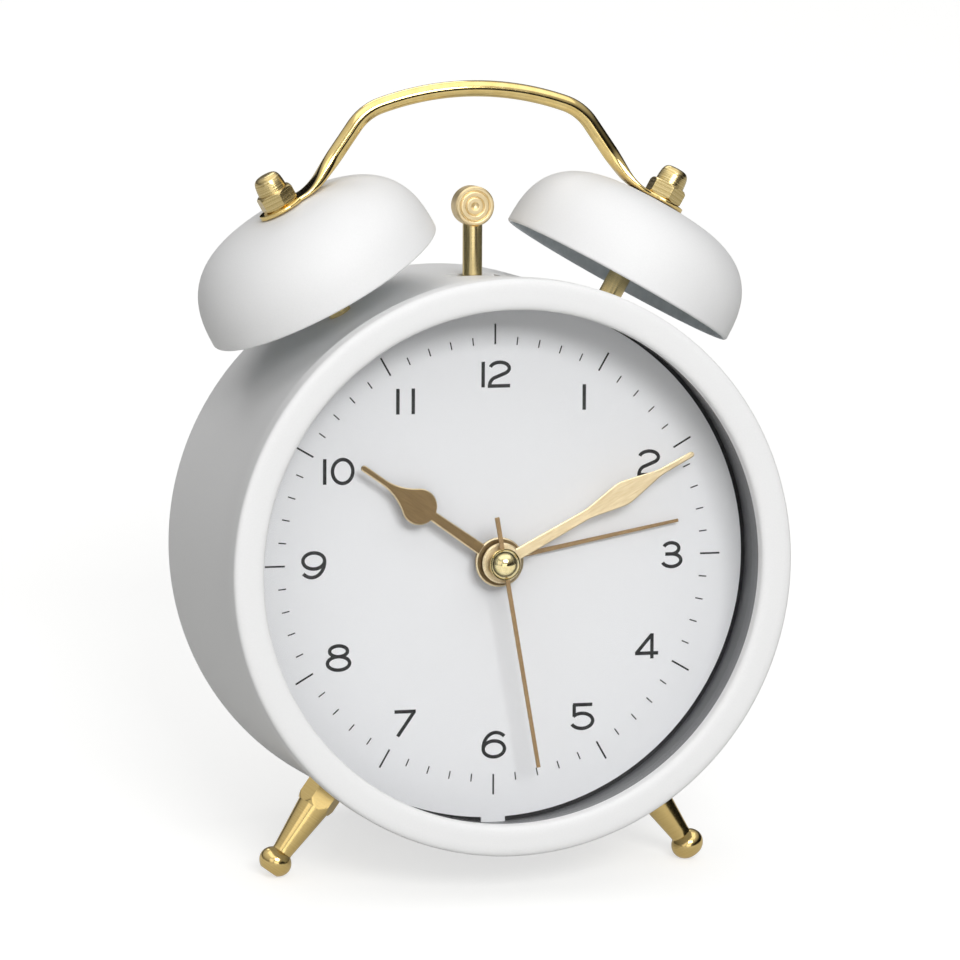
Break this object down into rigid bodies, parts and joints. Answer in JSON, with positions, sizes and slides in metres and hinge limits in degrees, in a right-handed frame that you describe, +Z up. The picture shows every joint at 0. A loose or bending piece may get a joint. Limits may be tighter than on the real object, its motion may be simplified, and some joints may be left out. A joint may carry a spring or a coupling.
{
  "type": "twin-bell alarm clock",
  "caption": "Round table alarm clock in a metal drum with a domed bell on each side of a swinging hammer, a bent rod handle and splayed ball feet; it shows the time and rings.",
  "frame": {"origin": "on the table surface, on the clock's middle plane, midway between the line through the two ball feet and the rear lower edge of the drum", "axes": "+Z up, +X to the right seen from the front, +Y to the back; the dial faces -Y and leans back by about 11 degrees"},
  "size_m": [0.116, 0.0822, 0.1545],
  "materials": {
    "white_paint": "matt powder coat",
    "lens_glass": "clear",
    "dial_white": "matt white print ground",
    "black_plastic": "moulded, fine grain",
    "dark_ring": "moulded, satin",
    "white_plastic": "moulded, fine grain",
    "movement_plastic": "moulded",
    "gear_plastic": "moulded",
    "turned_brass": "turned",
    "gold_brass": "polished",
    "satin_brass": "turned rings",
    "bronze_hand": "satin bronze",
    "champagne_hand": "satin champagne",
    "zinc_steel": "zinc plated",
    "magnet": "sintered",
    "copper_wire": "enamelled wire",
    "board": "solder mask",
    "battery_wrap": "printed wrap"
  },
  "bodies": {
    "case": {"case_drum": "white_paint", "bezel": "white_paint", "left_bell": "white_paint", "right_bell": "white_paint", "lens": "lens_glass", "dial": "dial_white", "dial_frame": "black_plastic", "spacer_ring": "dark_ring", "rear_cover": "white_plastic", "movement_base": "movement_plastic", "movement_cap": "movement_plastic", "bell_posts": "turned_brass", "handle": "gold_brass", "acorn_nuts": "gold_brass", "feet": "gold_brass", "cover_screws": "zinc_steel", "post_nuts": "zinc_steel", "foot_nuts": "zinc_steel", "hammer_pin": "zinc_steel", "contact_plate": "zinc_steel", "contact_leaf": "zinc_steel", "stator": "zinc_steel", "ringer_frame": "zinc_steel", "bell_motor": "zinc_steel", "coil": "copper_wire", "circuit_board": "board", "battery": "battery_wrap"},
    "minute_set": {"cannon_pinion": "turned_brass", "minute_hand": "champagne_hand"},
    "hour_set": {"hour_wheel": "gear_plastic", "hour_hand": "bronze_hand"},
    "motion_set": {"motion_wheel": "gear_plastic"},
    "time_setter": {"time_shaft": "gear_plastic", "time_knob": "black_plastic"},
    "alarm_set": {"alarm_wheel": "gear_plastic", "alarm_hand": "champagne_hand"},
    "alarm_setter": {"alarm_shaft": "gear_plastic", "alarm_knob": "black_plastic"},
    "second_set": {"second_wheel": "gear_plastic", "second_hand": "champagne_hand", "second_cap": "gold_brass"},
    "third_set": {"third_wheel": "gear_plastic"},
    "centre_set": {"centre_wheel": "gear_plastic"},
    "step_set": {"step_wheel": "gear_plastic"},
    "rotor_set": {"rotor": "magnet"},
    "hammer": {"hammer_head": "satin_brass", "hammer_stem": "gold_brass", "hammer_lever": "black_plastic"},
    "crank": {"crank_wheel": "gear_plastic"},
    "motor_drive": {"motor_pinion": "turned_brass"},
    "switch_slide": {"alarm_switch": "black_plastic"},
    "door": {"battery_door": "white_plastic"}
  },
  "joints": [
    {"name": "minute_turn", "type": "hinge", "parent": "case", "child": "minute_set", "pos_m": [0, 0.00149, 0.06084], "axis": [0, 0.9808, -0.1948], "continuous": true},
    {"name": "hour_turn", "type": "hinge", "parent": "case", "child": "hour_set", "pos_m": [0, 0.00149, 0.06084], "axis": [0, 0.9808, -0.1948], "continuous": true},
    {"name": "motion_turn", "type": "hinge", "parent": "case", "child": "motion_set", "pos_m": [0.01, 0.00149, 0.06084], "axis": [0, 0.9808, -0.1948], "continuous": true},
    {"name": "time_knob_turn", "type": "hinge", "parent": "case", "child": "time_setter", "pos_m": [0.01, 0.00353, 0.07114], "axis": [0, 0.9808, -0.1948], "continuous": true},
    {"name": "alarm_turn", "type": "hinge", "parent": "case", "child": "alarm_set", "pos_m": [0, 0.00149, 0.06084], "axis": [0, 0.9808, -0.1948], "continuous": true},
    {"name": "alarm_knob_turn", "type": "hinge", "parent": "case", "child": "alarm_setter", "pos_m": [-0.00942, 0.00277, 0.06731], "axis": [0, 0.9808, -0.1948], "continuous": true},
    {"name": "second_turn", "type": "hinge", "parent": "case", "child": "second_set", "pos_m": [0, 0.00149, 0.06084], "axis": [0, 0.9808, -0.1948], "continuous": true},
    {"name": "third_turn", "type": "hinge", "parent": "case", "child": "third_set", "pos_m": [0, -0.00062, 0.05024], "axis": [0, 0.9808, -0.1948], "continuous": true},
    {"name": "centre_turn", "type": "hinge", "parent": "case", "child": "centre_set", "pos_m": [0, 0.00149, 0.06084], "axis": [0, 0.9808, -0.1948], "continuous": true},
    {"name": "step_turn", "type": "hinge", "parent": "case", "child": "step_set", "pos_m": [-0.00846, 0.00089, 0.05782], "axis": [0, 0.9808, -0.1948], "continuous": true},
    {"name": "rotor_turn", "type": "hinge", "parent": "case", "child": "rotor_set", "pos_m": [-0.01686, 0.00089, 0.05782], "axis": [0, 0.9808, -0.1948], "continuous": true},
    {"name": "hammer_swing", "type": "hinge", "parent": "case", "child": "hammer", "pos_m": [0, 0.01016, 0.10193], "axis": [0, 0.9808, -0.1948], "range_deg": [-10, 10]},
    {"name": "crank_turn", "type": "hinge", "parent": "case", "child": "crank", "pos_m": [0, 0.01066, 0.09164], "axis": [0, 0.9808, -0.1948], "range_deg": [-90, 90]},
    {"name": "motor_turn", "type": "hinge", "parent": "case", "child": "motor_drive", "pos_m": [0.01, 0.01066, 0.09164], "axis": [0, 0.9808, -0.1948], "range_deg": [-270, 270]},
    {"name": "switch_travel", "type": "slide", "parent": "case", "child": "switch_slide", "axis": [1, 0, 0], "range_m": [-0.0025, 0.0025]},
    {"name": "door_travel", "type": "slide", "parent": "case", "child": "door", "axis": [0, -0.1948, -0.9808], "range_m": [0, 0.006]}
  ],
  "couplings": [
    {"joint": "hour_turn", "follows": "minute_turn", "ratio": 0.083333},
    {"joint": "motion_turn", "follows": "minute_turn", "ratio": -0.33333},
    {"joint": "time_knob_turn", "follows": "minute_turn", "ratio": 0.83333},
    {"joint": "alarm_knob_turn", "follows": "alarm_turn", "ratio": -2.2857},
    {"joint": "third_turn", "follows": "second_turn", "ratio": -0.13333},
    {"joint": "centre_turn", "follows": "second_turn", "ratio": 0.016667},
    {"joint": "step_turn", "follows": "second_turn", "ratio": -5},
    {"joint": "rotor_turn", "follows": "second_turn", "ratio": 30},
    {"joint": "crank_turn", "follows": "hammer_swing", "ratio": 9},
    {"joint": "motor_turn", "follows": "hammer_swing", "ratio": -27}
  ]
}
